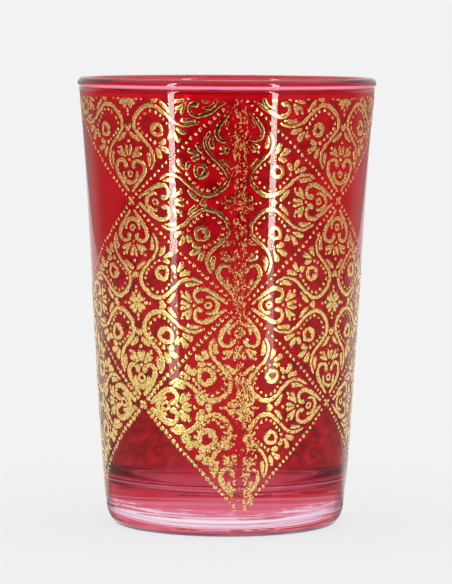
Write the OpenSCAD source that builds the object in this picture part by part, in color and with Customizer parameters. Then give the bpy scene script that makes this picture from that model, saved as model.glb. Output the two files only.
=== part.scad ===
/*
Tea glass of the Moroccan kind: a tapering tumbler of clear glass with a thick base, a thin coat of
ruby lacquer on its outside, and a raised gold print of scrolls, hearts and leaves in a beaded trellis.
Millimetres, +Z up, with the origin on the table under the middle of the glass.
Angle 0 of the print faces -Y, and angles grow towards +X.
*/

/* [Glass] */
// Height from the table to the top of the lip
glass_h = 90; // [78:1:104]
// Diameter that the straight part of the wall would have at the table
base_d = 48.3; // [44:0.1:52]
// Diameter that the straight part of the wall would have at the top of the lip
mouth_d = 58.8; // [55:0.1:64]
// Thickness of the wall
wall_t = 1.7; // [1.2:0.1:2.4]
// How far the lower wall draws in at the table, beyond the straight taper
draw_in = 0.52; // [0:0.02:1]
// Height over which the lower wall draws in
draw_h = 30; // [15:1:40]
// How far the upper wall flares at the lip, beyond the straight taper
flare_out = 0.45; // [0:0.05:1]
// Height over which the upper wall flares
flare_h = 30; // [15:1:40]
// Diameter of the round of the lip
lip_t = 2.2; // [1.8:0.1:2.8]
// How far the lip stands proud of the wall under it
lip_proud = 0.4; // [0.2:0.05:0.7]
// Height of the lip, from where it leaves the wall to its top
lip_h = 2.4; // [2.2:0.1:3]
// Thickness of the glass under the floor of the bowl
floor_t = 8.4; // [5:0.1:11]
// Radius of the round between the floor and the wall inside
bowl_round_r = 5; // [3:0.5:8]
// Height of the rounded heel
heel_h = 4; // [2.5:0.1:5]
// How far the heel rounds in to the foot ring
heel_in = 2.1; // [1.2:0.1:3]
// Width of the flat ring that stands on the table
foot_ring_w = 1.6; // [1:0.1:3]
// Depth of the hollow under the foot
foot_hollow_h = 1.2; // [0.6:0.1:2]

/* [Ruby coat] */
// Thickness of the lacquer
coat_t = 0.06; // [0.04:0.01:0.15]
// Height of the lower edge of the coat above the table
coat_foot_z = 4.6; // [4.2:0.1:5]

/* [Gold print] */
// Thickness of the gold
gold_h = 0.14; // [0.08:0.01:0.25]
// Clearance under the gold, which keeps its flat undersides off the round wall
gold_seat = 0.03; // [0.02:0.01:0.06]
// Distance from the top of the lip down to the line where the print is cut off
print_drop = 3.7; // [3.2:0.1:5]
// Height of the lowest tips of the print above the table
print_foot_z = 5.9; // [5.8:0.1:12]
// Number of trellis meshes round the glass
meshes_round = 4; // [3:1:4]
// Angle of the first trellis crossing, measured from the front
print_turn = 6; // [0:1:45]
// Diameter of the beads along the trellis
bead_d = 0.76; // [0.5:0.02:0.8]
// Beads between one crossing and the next
beads_per_edge = 23; // [16:1:25]
// Width of the broad scroll stroke at its crown
scroll_w = 1; // [0.6:0.05:1.05]
// Width of the stroke of the hearts
heart_w = 0.95; // [0.6:0.05:1]
// Width of the stroke of the cup inside a heart
cup_w = 0.75; // [0.45:0.05:0.8]
// Diameter of the small dots
dot_d = 0.72; // [0.5:0.02:0.74]
// Outer diameter of a rosebud
rosebud_d = 3.2; // [2.4:0.1:3.3]
// Thickness of the crescent of leaves behind a rosebud
calyx_w = 1.15; // [0.8:0.05:1.2]
// Outer diameter of the bud inside a heart
bud_d = 1.6; // [1.2:0.1:1.7]
// Length of a crossing flower, from tip to tip
flower_l = 2; // [1.4:0.1:2.1]
// Length of the star in the middle of a mesh, from tip to tip
star_l = 4.2; // [3.2:0.1:4.3]
// Width of a leaf
leaf_w = 0.95; // [0.7:0.05:1]

/* [Hidden] */
$fn = 64;

glass_colour = [0.86, 0.92, 0.9, 0.5];
ruby_colour = [0.75, 0.06, 0.14, 0.8];
gold_colour = [0.83, 0.65, 0.25];

arc_steps = 10;
wall_steps = 20;
coat_lip_steps = 3;
trellis_rows = 4;
mesh_half_angle = 180 / meshes_round;
print_top_z = glass_h - print_drop;
trellis_row_h = (print_top_z - print_foot_z) / trellis_rows;
wall_top_z = glass_h - lip_h;
lip_r = lip_t / 2;
lip_z = glass_h - lip_r;

// Wall of the glass

// Outer radius of the wall at height z: a straight taper, drawn in at the foot and flared at the mouth
function wall_r(z) =
    let (taper_r = (base_d + (mouth_d - base_d) * z / glass_h) / 2,
         low_share = max(0, 1 - z / draw_h),
         high_share = max(0, 1 - (glass_h - z) / flare_h))
    taper_r - draw_in * low_share * low_share + flare_out * high_share * high_share;

// Slope of the wall at height z, as an angle from upright
function wall_lean(z) =
    let (low_share = max(0, 1 - z / draw_h), high_share = max(0, 1 - (glass_h - z) / flare_h))
    atan((mouth_d - base_d) / glass_h / 2 + 2 * draw_in * low_share / draw_h
        + 2 * flare_out * high_share / flare_h);

lip_mid_r = wall_r(wall_top_z) + lip_proud - lip_r;
foot_ring_r = wall_r(0) - heel_in;
foot_hollow_r = foot_ring_r - foot_ring_w;
bowl_round_z = floor_t + bowl_round_r;

// Heights at which both the glass and the coat have a point of their profile
wall_zs = [for (i = [0 : wall_steps]) coat_foot_z + (wall_top_z - coat_foot_z) * i / wall_steps];
bowl_zs = [for (i = [0 : wall_steps]) lip_z + (bowl_round_z - lip_z) * i / wall_steps];

// The round of the lip, at a distance outside the glass, up to a number of steps towards the inside
function lip_round(out, steps) = [for (i = [0 : steps]) let (a = 180 * i / arc_steps)
    [lip_mid_r + (lip_r + out) * cos(a), lip_z + (lip_r + out) * sin(a)]];

// Inner radius of the wall, which eases into the lip
function bowl_r(z) = min(wall_r(z) - wall_t, lip_mid_r - lip_r);

module glass_profile() {
    heel = [for (i = [0 : arc_steps]) let (a = 90 * i / arc_steps)
        [wall_r(heel_h * (1 - cos(a))) - heel_in * (1 - sin(a)), heel_h * (1 - cos(a))]];
    wall = [for (z = wall_zs) [wall_r(z), z]];
    bowl = [for (z = bowl_zs) [bowl_r(z), z]];
    round_mid_r = bowl_r(bowl_round_z) - bowl_round_r;
    bowl_round = [for (i = [1 : arc_steps]) let (a = 90 * i / arc_steps)
        [round_mid_r + bowl_round_r * cos(a), bowl_round_z - bowl_round_r * sin(a)]];
    hollow = [for (i = [0 : arc_steps]) let (a = 90 * i / arc_steps)
        [foot_hollow_r * sin(a), foot_hollow_h * cos(a)]];
    polygon(concat(heel, wall, lip_round(0, arc_steps), bowl, bowl_round, [[0, floor_t]], hollow));
}

module glass_tumbler() {
    color(glass_colour) rotate_extrude($fn = 128) glass_profile();
}

// The coat goes up the wall and over the outside of the lip, and stops short of the lip's top
module ruby_coat() {
    outside = concat([for (z = wall_zs) [wall_r(z) + coat_t, z]], lip_round(coat_t, coat_lip_steps));
    inside = concat([for (z = wall_zs) [wall_r(z), z]], lip_round(0, coat_lip_steps));
    back_down = [for (i = [len(inside) - 1 : -1 : 0]) inside[i]];
    color(ruby_colour) rotate_extrude($fn = 128) polygon(concat(outside, back_down));
}

// The print: places on it are [angle, height]

function seat_r(z) = wall_r(z) + coat_t + gold_seat;
function row_z(row) = print_top_z - trellis_row_h * row;
function crossing(row, i) = [print_turn + mesh_half_angle * (2 * i + row % 2), row_z(row)];
function arc_mm(angle, z) = seat_r(z) * angle * PI / 180;
function midway(p, q) = (p + q) / 2;

// Place q on the plane that touches the wall at place p: millimetres round the glass and up the wall
function unrolled(p, q) = [arc_mm(q[0] - p[0], p[1]), (q[1] - p[1]) / cos(wall_lean(p[1]))];
function heading(p, q) = let (step = unrolled(p, q)) atan2(step[1], step[0]);
function reach(p, q) = norm(unrolled(midway(p, q), q)) * 2;

// Meshes that carry the ornament, each as [middle, is_half]. The top row is cut in half by the edge of
// the print, and every other mesh of the second row is left as a plain red window.
meshes = [for (row = [0 : trellis_rows - 1], i = [0 : meshes_round - 1])
    if (row != 1 || i % 2 == 0)
        [[print_turn + mesh_half_angle * (2 * i + (row + 1) % 2), row_z(row)], row == 0]];

// A mesh has four edges and four corners, and a half mesh keeps only what lies below its middle
sides = [[-1, 1], [1, 1], [1, -1], [-1, -1]];
corners = [[0, 1], [1, 0], [0, -1], [-1, 0]];

// Place of a point given by its shares of the way out towards an edge and along that edge
function by_edge(mesh, side, p) =
    mesh[0] + [side[0] * (p[0] + p[1]) / 2 * mesh_half_angle, side[1] * (p[0] - p[1]) / 2 * trellis_row_h];

// Place of a point given by its shares across and inwards from a corner
function by_corner(mesh, corner, p) =
    let (inner = 1 - p[1], x = corner[0] * inner + corner[1] * p[0], y = corner[1] * inner - corner[0] * p[0])
    mesh[0] + [x * mesh_half_angle, y * trellis_row_h];

function flipped(p, turn) = [turn * p[0], p[1]];
function swapped(p, turn) = [p[0], turn * p[1]];

// Is every one of these places below the line where the print is cut off, with room to spare?
function printed(places, spare) = max([for (p = places) p[1]]) <= print_top_z - spare;

// Draws its children flat on the wall at a place, with their +X round the glass and their +Y up it
module on_wall(place) {
    rotate([0, 0, place[0] - 90])
        translate([seat_r(place[1]), 0, place[1]])
            rotate([0, wall_lean(place[1]), 0])
                rotate([90, 0, 90])
                    children();
}

// A stroke of gold that follows a list of places, with a share of its width at each. Its section is a
// low ridge, as a printed line of paste has. It stands off by as much as its flat foot would cut into
// the round wall between two places.
function stroke_sag(places) = max([for (i = [1 : len(places) - 1])
    seat_r(places[i][1]) * (1 - cos((places[i][0] - places[i - 1][0]) / 2))]);

function stroke_ring(places, i, width, sag) =
    let (p = places[i], before = places[max(i - 1, 0)], after = places[min(i + 1, len(places) - 1)],
         run = heading(before, after))
    [for (corner = [[-1, 0], [1, 0], [0, 1]])
        let (side_mm = corner[0] * width / 2, z = p[1] + side_mm * cos(run),
             angle = p[0] - side_mm * sin(run) / arc_mm(1, p[1]), r = seat_r(z) + sag + corner[1] * gold_h)
        [r * sin(angle), -r * cos(angle), z]];

module stroke(places, width, width_shares) {
    n = len(places);
    sag = stroke_sag(places);
    points = [for (i = [0 : n - 1]) each stroke_ring(places, i, width * width_shares[i], sag)];
    walls = [for (i = [0 : n - 2], k = [0 : 2]) let (a = 3 * i + k, b = 3 * i + (k + 1) % 3)
        each [[a, b, b + 3], [a, b + 3, a + 3]]];
    polyhedron(points, concat(walls, [[0, 2, 1], [3 * n - 3, 3 * n - 2, 3 * n - 1]]));
}

// A low round bead or dot
bead_top_share = 0.6;

module dot(place, d) {
    on_wall(place) cylinder(h = gold_h, d1 = d, d2 = d * bead_top_share);
}

// A leaf with two pointed ends: where two equal discs cross
module leaf_outline(length, width) {
    disc_r = (length * length + width * width) / width / 4;
    intersection() {
        translate([0, disc_r - width / 2]) circle(disc_r);
        translate([0, width / 2 - disc_r]) circle(disc_r);
    }
}

// A leaf with its tips rounded off, printed from one place to another
blunt_share = 0.9;

module leaf(from, to, width) {
    length = reach(from, to) / blunt_share;
    on_wall(midway(from, to)) rotate(heading(from, to)) linear_extrude(gold_h) intersection() {
        leaf_outline(length, width);
        circle(d = length * blunt_share);
    }
}

module gold() {
    color(gold_colour) children();
}

// Trellis

// Share of an edge from its crossing to its first bead, which leaves room for the crossing's flower
bead_start_share = 0.066;

module trellis_beads() {
    gold() for (row = [0 : trellis_rows - 1], i = [0 : meshes_round - 1], turn = [-1, 1]) {
        from = crossing(row, i);
        edge = [turn * mesh_half_angle, -trellis_row_h];
        beaded_share = 1 - 2 * bead_start_share;
        for (k = [0 : beads_per_edge - 1])
            dot(from + edge * (bead_start_share + beaded_share * k / (beads_per_edge - 1)), bead_d);
    }
}

flower_petal_share = 0.32;

module crossing_flowers() {
    gold() for (row = [1 : trellis_rows], i = [0 : meshes_round - 1])
        on_wall(crossing(row, i)) linear_extrude(gold_h)
            for (turn = [45, 135]) rotate(turn) leaf_outline(flower_l, flower_l * flower_petal_share);
}

// Ornament along the edges of a mesh. Places are shares [out, along], with out 0 at the middle of the
// mesh and 1 at the edge, and along 0 at the middle of the edge.

module at_edges() {
    gold() for (mesh = meshes, side = sides) if (!mesh[1] || side[1] < 0) {
        $mesh = mesh;
        $side = side;
        children();
    }
}

// The broad scroll that wraps round a rosebud: half of it, from its crown to its tail
scroll_shares = [[0.25, 0], [0.27, 0.12], [0.35, 0.21], [0.48, 0.238], [0.67, 0.243], [0.82, 0.3],
    [0.913, 0.469]];
scroll_width_shares = [1, 1, 0.85, 0.75, 0.7, 0.65, 0.5];

module scroll_bands() {
    last = len(scroll_shares) - 1;
    width_shares = [for (i = [-last : last]) scroll_width_shares[abs(i)]];
    at_edges() {
        places = [for (i = [-last : last]) by_edge($mesh, $side, swapped(scroll_shares[abs(i)], sign(i)))];
        stroke(places, scroll_w, width_shares);
    }
}

// Dots inside the scroll, and the larger one that the spray grows from
ring_dot_shares = [[0.335, 0.045], [0.357, 0.126], [0.423, 0.168], [0.494, 0.18], [0.56, 0.172],
    [0.63, 0.165]];
spray_root_shares = [0.702, 0.15];
spray_root_d_share = 1.15;

module ring_dots() {
    at_edges() for (turn = [-1, 1]) {
        for (p = ring_dot_shares) dot(by_edge($mesh, $side, swapped(p, turn)), dot_d);
        dot(by_edge($mesh, $side, swapped(spray_root_shares, turn)), dot_d * spray_root_d_share);
    }
}

// A ring with a heavy petal on its inner side and a point on its outer side
rosebud_shares = [0.6, 0];
rosebud_point_share = 0.6;
rosebud_hole_shares = [[-0.07, 0], [-0.13, 0.14], [-0.06, 0.21], [0.1, 0.17], [0.24, 0]];

module rosebuds() {
    hole = [for (p = rosebud_hole_shares) p * rosebud_d];
    at_edges() {
        place = by_edge($mesh, $side, rosebud_shares);
        on_wall(place) rotate(heading($mesh[0], place)) linear_extrude(gold_h) difference() {
            union() {
                circle(d = rosebud_d);
                rotate(-45) square(rosebud_d * rosebud_point_share / sqrt(2));
            }
            polygon(concat(hole, [for (i = [len(hole) - 2 : -1 : 1]) [hole[i][0], -hole[i][1]]]));
        }
    }
}

// A fat crescent behind the rosebud: what is left of a disc when a larger one, round the rosebud and
// clear of its point, is cut away
calyx_gap = 0.25;
calyx_out_share = 0.8;

module calyx_leaves() {
    inner_r = rosebud_d * rosebud_point_share + calyx_gap;
    out = inner_r * calyx_out_share;
    at_edges() {
        place = by_edge($mesh, $side, rosebud_shares);
        on_wall(place) rotate(heading($mesh[0], place)) linear_extrude(gold_h) difference() {
            translate([out, 0]) circle(inner_r + calyx_w - out);
            circle(inner_r);
        }
    }
}

// Two leaves on each side, fanning out towards the edge, each as [root, tip]
spray_leaf_shares = [[[0.762, 0.187], [0.905, 0.245]], [[0.775, 0.131], [0.92, 0.086]]];

module spray_leaves() {
    at_edges() for (turn = [-1, 1], ends = spray_leaf_shares) {
        root = by_edge($mesh, $side, swapped(ends[0], turn));
        tip = by_edge($mesh, $side, swapped(ends[1], turn));
        leaf(root, tip, leaf_w);
    }
}

// Ornament in the corners of a mesh. Places are shares [across, inward] of the way from the corner to
// the middle of the mesh.

module at_corners() {
    gold() for (mesh = meshes, corner = corners) {
        $mesh = mesh;
        $corner = corner;
        children();
    }
}

function corner_places(shares, turn) = [for (p = shares) by_corner($mesh, $corner, flipped(p, turn))];

// Half of the heart that stands on the corner, from its point round to the curl inside
volute_shares = [[0.022, 0.09], [0.073, 0.155], [0.125, 0.225], [0.158, 0.285], [0.164, 0.335], [0.145, 0.378],
    [0.105, 0.394], [0.06, 0.384], [0.042, 0.348], [0.066, 0.32]];
volute_width_shares = [0.6, 0.8, 0.97, 1.05, 1, 0.87, 0.8, 0.85, 1.1, 1.3];

module heart_volutes() {
    at_corners() for (turn = [-1, 1]) {
        places = corner_places(volute_shares, turn);
        if (printed(places, 0)) stroke(places, heart_w, volute_width_shares);
    }
}

// The cup inside the heart
cup_shares = [[-0.078, 0.28], [-0.08, 0.238], [-0.05, 0.195], [0, 0.177], [0.05, 0.195], [0.08, 0.238],
    [0.078, 0.28]];
cup_width_shares = [0.8, 0.93, 1.04, 1.12, 1.04, 0.93, 0.8];

module heart_cups() {
    at_corners() {
        places = corner_places(cup_shares, 1);
        if (printed(places, cup_w / 2)) stroke(places, cup_w, cup_width_shares);
    }
}

bud_shares = [0, 0.262];
bud_hole_share = 0.4;

module heart_buds() {
    at_corners() {
        place = by_corner($mesh, $corner, bud_shares);
        if (printed([place], bud_d / 2)) on_wall(place) linear_extrude(gold_h) difference() {
            circle(d = bud_d);
            circle(d = bud_d * bud_hole_share);
        }
    }
}

// The fan of three forked petals over the heart
side_petal_shares = [[0.03, 0.424], [0.085, 0.437], [0.13, 0.455], [0.148, 0.474], [0.13, 0.486],
    [0.098, 0.478], [0.102, 0.512], [0.088, 0.53], [0.068, 0.512], [0.044, 0.465]];
middle_petal_shares = [[0, 0.428], [0.024, 0.465], [0.038, 0.515], [0.03, 0.54], [0.015, 0.53], [0, 0.495],
    [-0.015, 0.53], [-0.03, 0.54], [-0.038, 0.515], [-0.024, 0.465]];

module palmettes() {
    at_corners() {
        petal(corner_places(side_petal_shares, -1));
        petal(corner_places(middle_petal_shares, 1));
        petal(corner_places(side_petal_shares, 1));
    }
}

// A petal's outline starts at its root, and half of its points later it is near its tip
module petal(places) {
    middle = midway(places[0], places[len(places) / 2]);
    if (printed(places, 0)) on_wall(middle) linear_extrude(gold_h)
        polygon([for (p = places) unrolled(middle, p)]);
}

palmette_dot_shares = [[0, 0.398], [-0.13, 0.517], [0, 0.575], [0.13, 0.517]];

module palmette_dots() {
    at_corners() for (place = corner_places(palmette_dot_shares, 1))
        if (printed([place], dot_d / 2)) dot(place, dot_d);
}

// Leaves beside the heart and over its fan, each as [tail, head]
comma_leaf_shares = [[0.2, 0.355], [0.198, 0.482]];
twin_leaf_shares = [[0.12, 0.585], [0.022, 0.666]];
twin_leaf_w_share = 0.9;

module corner_leaves(ends_shares, width) {
    at_corners() for (turn = [-1, 1]) {
        ends = corner_places(ends_shares, turn);
        if (printed(ends, width / 2)) leaf(ends[0], ends[1], width);
    }
}

module comma_leaves() {
    corner_leaves(comma_leaf_shares, leaf_w);
}

module twin_leaves() {
    corner_leaves(twin_leaf_shares, leaf_w * twin_leaf_w_share);
}

// The little heart between the twin leaves and the star
small_heart_shares = [0, 0.722];
small_heart_l_share = 0.08;
lobe_d_share = 0.56;
lobe_out_share = 0.25;

module small_heart_outline(length) {
    lobe_d = length * lobe_d_share;
    lobe_x = lobe_d * lobe_out_share;
    for (turn = [-1, 1]) translate([lobe_x, turn * lobe_d / 2]) circle(d = lobe_d);
    polygon([[-length / 2, 0], [lobe_x, -lobe_d], [lobe_d / 2, 0], [lobe_x, lobe_d]]);
}

module small_hearts() {
    length = small_heart_l_share * trellis_row_h;
    at_corners() {
        place = by_corner($mesh, $corner, small_heart_shares);
        if (printed([place], length / 2)) on_wall(place) rotate(heading(place, $mesh[0]))
            linear_extrude(gold_h) small_heart_outline(length);
    }
}

// Ornament in the middle of a mesh: a flower of eight lobes in four pairs, with two dots on each axis
star_lobe_share = 0.26;
star_eye_share = 0.4;
star_lobe_angles = [28, 62, 118, 152];
star_dot_shares = [[0, 0.892], [0, 0.852]];

module centre_stars() {
    gold() for (mesh = meshes) if (!mesh[1]) on_wall(mesh[0]) linear_extrude(gold_h) {
        for (angle = star_lobe_angles) rotate(angle) leaf_outline(star_l, star_l * star_lobe_share);
        circle(d = star_l * star_eye_share);
    }
}

module star_dots() {
    at_corners() for (place = corner_places(star_dot_shares, 1)) if (!$mesh[1]) dot(place, dot_d);
}

glass_tumbler();
ruby_coat();
trellis_beads();
crossing_flowers();
scroll_bands();
ring_dots();
rosebuds();
calyx_leaves();
spray_leaves();
heart_volutes();
heart_cups();
heart_buds();
palmettes();
palmette_dots();
comma_leaves();
twin_leaves();
small_hearts();
centre_stars();
star_dots();
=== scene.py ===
# %% [markdown]
# # A Moroccan tea glass in ruby and gold
# The real thing is a pressed tumbler of clear glass. A thin ruby lacquer is sprayed on its outside, and
# a gold paste is printed over that through a screen, so the gold stands a little proud of the wall.
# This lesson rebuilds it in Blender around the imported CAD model. The CAD model is the fixed frame: it
# gives the sizes, and each piece made here takes the place of one of its nodes.

import math

import bmesh
import bpy
import numpy as np
from mathutils import Matrix, Vector


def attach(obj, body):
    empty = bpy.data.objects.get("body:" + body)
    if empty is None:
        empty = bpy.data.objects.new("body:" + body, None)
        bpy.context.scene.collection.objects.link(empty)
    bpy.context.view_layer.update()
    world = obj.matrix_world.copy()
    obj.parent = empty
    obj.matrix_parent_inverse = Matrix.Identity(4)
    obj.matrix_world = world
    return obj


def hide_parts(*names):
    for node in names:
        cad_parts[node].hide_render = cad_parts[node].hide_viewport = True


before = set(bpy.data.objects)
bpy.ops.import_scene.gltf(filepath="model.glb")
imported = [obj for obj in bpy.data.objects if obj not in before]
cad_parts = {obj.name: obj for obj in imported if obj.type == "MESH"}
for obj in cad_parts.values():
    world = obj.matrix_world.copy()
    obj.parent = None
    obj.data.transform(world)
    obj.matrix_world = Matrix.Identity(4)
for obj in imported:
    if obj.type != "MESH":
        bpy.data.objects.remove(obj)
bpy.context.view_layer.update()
print("nodes:", sorted(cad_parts))

# %% [markdown]
# ## The wall of the glass
# Everything on this object follows one curve, the outside of the wall. It is a straight taper that
# draws in a little at the foot and flares a little at the mouth. We could read it from the CAD mesh,
# but a formula gives a smooth surface at any fineness, so the same formula is written again here.

# %% Sizes in millimetres, and the wall's formula
MM = 0.001
GLASS_H, BASE_D, MOUTH_D, WALL_T = 90.0, 48.3, 58.8, 1.7
DRAW_IN, DRAW_H, FLARE_OUT, FLARE_H = 0.52, 30.0, 0.45, 30.0
LIP_R, LIP_PROUD, COAT_T, COAT_TOP_Z = 1.1, 0.4, 0.06, 87.6
FLOOR_T, BOWL_ROUND_R = 8.4, 5.0
HEEL_H, HEEL_IN, FOOT_RING_W, FOOT_HOLLOW_H = 4.0, 2.1, 1.6, 1.2
TAPER = (MOUTH_D - BASE_D) / 2 / GLASS_H


def wall_r(z):
    """Radius of the bare wall at height z: half of a diameter that grows evenly from foot to mouth, less
    a parabola over the lowest 30 mm, plus a parabola over the highest 30 mm."""
    z = np.asarray(z, float)
    taper = (BASE_D + (MOUTH_D - BASE_D) * z / GLASS_H) / 2
    low = np.clip(1 - z / DRAW_H, 0, None)
    high = np.clip(1 - (GLASS_H - z) / FLARE_H, 0, None)
    return taper - DRAW_IN * low**2 + FLARE_OUT * high**2


def on_wall(theta, z, lift):
    """Point at angle theta in degrees (0 faces -Y and it grows towards +X), height z and lift off the
    wall: x = r sin, y = -r cos, with r the wall's radius plus lift. Millimetres in, metres out."""
    r, a = wall_r(z) + lift, np.radians(theta)
    return np.stack([r * np.sin(a), -r * np.cos(a), z + 0 * r], -1) * MM


def degree_mm(z):
    """Length of one degree round the coat at height z: the radius times pi / 180."""
    return np.radians(1) * (wall_r(z) + COAT_T)


print("wall radius at foot, middle and mouth:", wall_r([0, 45, 90]).round(2))

# %% [markdown]
# ## From arrays to meshes
# A grid of points becomes a surface when each point is joined to the next one along and the next one
# across. Where a direction goes all the way round, the last row joins the first again. The faces are
# wound so that they look outwards when the first direction runs to the right and the second one up.


# %% Helpers that turn grids of points into mesh objects
def grid_faces(rows, cols, wrap_rows=False, wrap_cols=False):
    """Quads (i, j), (i+1, j), (i+1, j+1), (i, j+1) of a grid of points that are numbered row by row."""
    i = np.arange(rows if wrap_rows else rows - 1)[:, None]
    j = np.arange(cols if wrap_cols else cols - 1)[None, :]
    k, m = (i + 1) % rows, (j + 1) % cols
    return np.stack([i * cols + j, k * cols + j, k * cols + m, i * cols + m], -1).reshape(-1, 4)


def add_object(name, points, faces):
    """A smooth-shaded mesh object at the origin, with its place in its points."""
    mesh = bpy.data.meshes.new(name)
    mesh.from_pydata(np.asarray(points).tolist(), [], faces)
    mesh.shade_smooth()
    mesh.update()
    piece = bpy.data.objects.new(name, mesh)
    bpy.context.scene.collection.objects.link(piece)
    return piece


def dress(piece, material, slot, *nodes):
    """Gives a piece its material, lets it ride on the body, and hides the CAD nodes that it stands for."""
    piece.data.materials.append(material)
    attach(piece, "root")
    if nodes:
        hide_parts(*nodes)
    print(piece.name, "has", len(piece.data.vertices), "points and", len(piece.data.polygons), "faces")


# %% [markdown]
# ## Materials
# A material is a shader with a few patterns that steer it. The patterns that several materials share
# are node groups: they are built once, and each material sets its own scale and strength.


# %% Small helpers for node trees
def fill(tree, made, inputs):
    """Fills a node's inputs with values, or with links from other sockets."""
    for key, value in inputs.items():
        if isinstance(value, bpy.types.NodeSocket):
            tree.links.new(value, made.inputs[key])
        else:
            made.inputs[key].default_value = value


def node(tree, kind, inputs=None, **settings):
    """Adds a node, sets its properties and fills its inputs."""
    made = tree.nodes.new(kind)
    for key, value in settings.items():
        setattr(made, key, value)
    fill(tree, made, inputs or {})
    return made


def new_material(name):
    """A new material, with its tree, its Principled BSDF and the place on the piece, in metres."""
    material = bpy.data.materials.new(name)
    material.use_nodes = True
    tree = material.node_tree
    return material, tree, tree.nodes["Principled BSDF"], node(tree, "ShaderNodeTexCoord").outputs["Object"]


def math_node(tree, operation, a, b=0.0, clamp=False):
    """One step of arithmetic with numbers or sockets."""
    return node(tree, "ShaderNodeMath", {0: a, 1: b}, operation=operation, use_clamp=clamp).outputs[0]


def split(tree, vector):
    """The x, y and z of a vector, as three sockets."""
    return node(tree, "ShaderNodeSeparateXYZ", {0: vector}).outputs


def blend_colours(tree, share, a, b):
    """Colour a where share is 0, and colour b where it is 1."""
    return node(tree, "ShaderNodeMix", {0: share, 6: a, 7: b}, data_type="RGBA").outputs[2]


def between(tree, share, a, b):
    """Number a where share is 0, and number b where it is 1."""
    return node(tree, "ShaderNodeMapRange", {"Value": share, "To Min": a, "To Max": b}).outputs[0]


def rise(tree, value, low, high, least=0.0, most=1.0):
    """Least below low and most above high, with a soft change between."""
    limits = {"Value": value, "From Min": low, "From Max": high, "To Min": least, "To Max": most}
    return node(tree, "ShaderNodeMapRange", limits, interpolation_type="SMOOTHSTEP").outputs[0]


def bell(tree, value, centre, width, height):
    """A bell curve: height times exp(-((value - centre) / width)^2)."""
    off = math_node(tree, "DIVIDE", math_node(tree, "SUBTRACT", value, centre), width)
    power = math_node(tree, "MULTIPLY", math_node(tree, "MULTIPLY", off, off), -1.0)
    return math_node(tree, "MULTIPLY", math_node(tree, "EXPONENT", power), height)


def new_group(name, **inputs):
    """A node group that turns a vector and some numbers into a mask: the group, the sockets that it is
    given, and the mask's socket."""
    group = bpy.data.node_groups.new(name, "ShaderNodeTree")
    group.interface.new_socket("Vector", in_out="INPUT", socket_type="NodeSocketVector")
    for label, value in inputs.items():
        socket = group.interface.new_socket(label, in_out="INPUT", socket_type="NodeSocketFloat")
        socket.default_value = value
    group.interface.new_socket("Mask", in_out="OUTPUT", socket_type="NodeSocketFloat")
    return group, group.nodes.new("NodeGroupInput").outputs, group.nodes.new("NodeGroupOutput").inputs["Mask"]


# %% [markdown]
# ### Speckle
# Paste, lacquer, glass and paper are never even. Speckle is a soft noise that is pushed apart into light
# and dark places. Its stretch squeezes the pattern along the height, which makes level streaks of it.

# %% The speckle group
speckle, given, mask = new_group("speckle", Scale=1000.0, Stretch=1.0, Detail=3.0, Low=0.4, High=0.6)
squeeze = node(speckle, "ShaderNodeCombineXYZ", {0: 1.0, 1: 1.0, 2: given["Stretch"]})
squeezed = node(speckle, "ShaderNodeVectorMath", {0: given["Vector"], 1: squeeze.outputs[0]},
                operation="MULTIPLY")
noise = node(speckle, "ShaderNodeTexNoise", {"Vector": squeezed.outputs[0], "Scale": given["Scale"],
                                             "Detail": given["Detail"], "Roughness": 0.6})
speckle.links.new(rise(speckle, noise.outputs["Fac"], given["Low"], given["High"]), mask)


def speckles(tree, place, scale, stretch=1.0, detail=3.0, low=0.4, high=0.6):
    """One use of the speckle group in a material, as a mask from 0 to 1."""
    given = {"Vector": place, "Scale": scale, "Stretch": stretch, "Detail": detail, "Low": low, "High": high}
    return node(tree, "ShaderNodeGroup", given, node_tree=speckle).outputs["Mask"]


# %% [markdown]
# ### Band
# Some finishes change from one height of the glass to another, such as the brushed lower edge of the
# lacquer. Band is 0 below one height and 1 above another, and a wobble makes its edge uneven.

# %% The band group
band, given, mask = new_group("band", Wobble=0.0, From=0.0, To=0.01)
height = math_node(band, "ADD", split(band, given["Vector"])[2], given["Wobble"])
band.links.new(rise(band, height, given["From"], given["To"]), mask)


def bands(tree, place, wobble, low, high):
    """One use of the band group: heights in metres, and a wobble that moves the edge up or down."""
    given = {"Vector": place, "Wobble": wobble, "From": low, "To": high}
    return node(tree, "ShaderNodeGroup", given, node_tree=band).outputs["Mask"]


# %% [markdown]
# ### Clear glass
# Pressed glass is clear but not perfect: the mould leaves its surface very slightly wavy, and a soft
# bump gives the waves. The plunger leaves the inside of the bowl a trace less sharp, more so in some
# patches, and so the far print is soft in the photograph. The inside is told from the outside by its
# distance from the axis, less the taper of the wall. The standing ring and the hollow under the foot
# are ground a little matt.

# %% The glass material
clear_glass, tree, shader, place = new_material("clear_glass")
waves = node(tree, "ShaderNodeBump", {"Strength": 0.1, "Distance": 0.0004,
                                      "Height": speckles(tree, place, 45.0, 0.8, 1.0, 0.2, 0.8)})
smears = speckles(tree, place, 160.0, 2.0, 4.0, 0.45, 0.7)
x, y, z = split(tree, place)
level = node(tree, "ShaderNodeCombineXYZ", {0: x, 1: y})
out_by = node(tree, "ShaderNodeVectorMath", {0: level.outputs[0]}, operation="LENGTH").outputs["Value"]
untapered = math_node(tree, "SUBTRACT", out_by, math_node(tree, "MULTIPLY", z, TAPER))
inside = math_node(tree, "MULTIPLY", rise(tree, untapered, 0.0232, 0.0234, 1.0, 0.0),
                   bands(tree, place, 0.0, 0.0085, 0.0115))
softness = math_node(tree, "MULTIPLY", inside, between(tree, smears, 0.13, 0.17))
ground = rise(tree, z, 0.0003, 0.0013, 0.45, 0.0)
tint = blend_colours(tree, speckles(tree, place, 30.0), (0.985, 0.99, 0.985, 1), (0.995, 0.995, 0.995, 1))
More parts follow.
